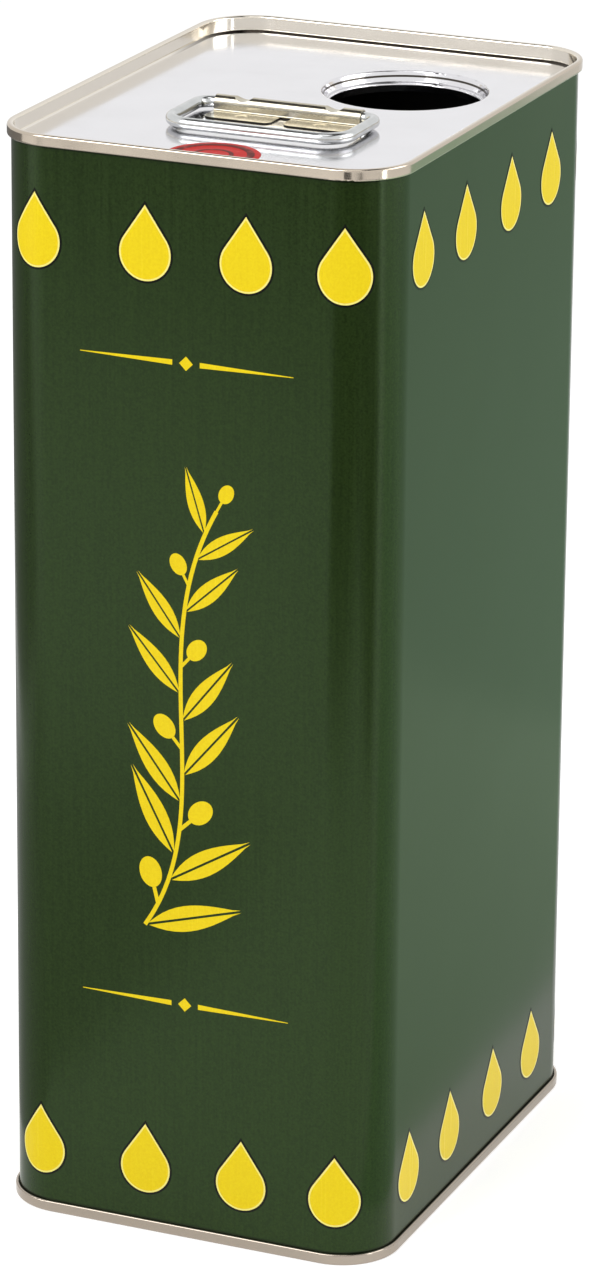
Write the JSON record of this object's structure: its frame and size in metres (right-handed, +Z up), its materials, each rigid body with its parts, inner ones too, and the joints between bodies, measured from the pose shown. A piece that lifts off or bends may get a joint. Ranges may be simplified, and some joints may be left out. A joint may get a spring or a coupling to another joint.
{
  "type": "oil tin",
  "caption": "Rectangular olive oil tin with round corners, double-seamed ends, a sunk lid with a stepped round mouth for a press-in spout, and a folding wire bail held by a welded clip.",
  "frame": {"origin": "on the floor under the middle of the tin", "axes": "+Z up the tin; -Y is the narrow printed face; +X is the wide face to the right of it"},
  "size_m": [0.1162, 0.1552, 0.312],
  "materials": {
    "printed_tinplate": "varnished print on tinplate",
    "bright_tinplate": "bright tinplate",
    "clip_tinplate": "bright tinplate",
    "zinc_wire": "zinc plated wire",
    "seam_compound": "matte",
    "red_mark": "satin"
  },
  "bodies": {
    "tin": {"body_shell": "printed_tinplate", "top_end": "bright_tinplate", "bottom_end": "bright_tinplate", "top_seam_compound": "seam_compound", "bottom_seam_compound": "seam_compound", "handle_clip": "clip_tinplate", "lid_roundel": "red_mark"},
    "bail": {"bail_handle": "zinc_wire"}
  },
  "joints": [
    {"name": "bail_swing", "type": "hinge", "parent": "tin", "child": "bail", "pos_m": [0.003, -0.01523, 0.30965], "axis": [-1, 0, 0], "range_deg": [0, 180]}
  ]
}
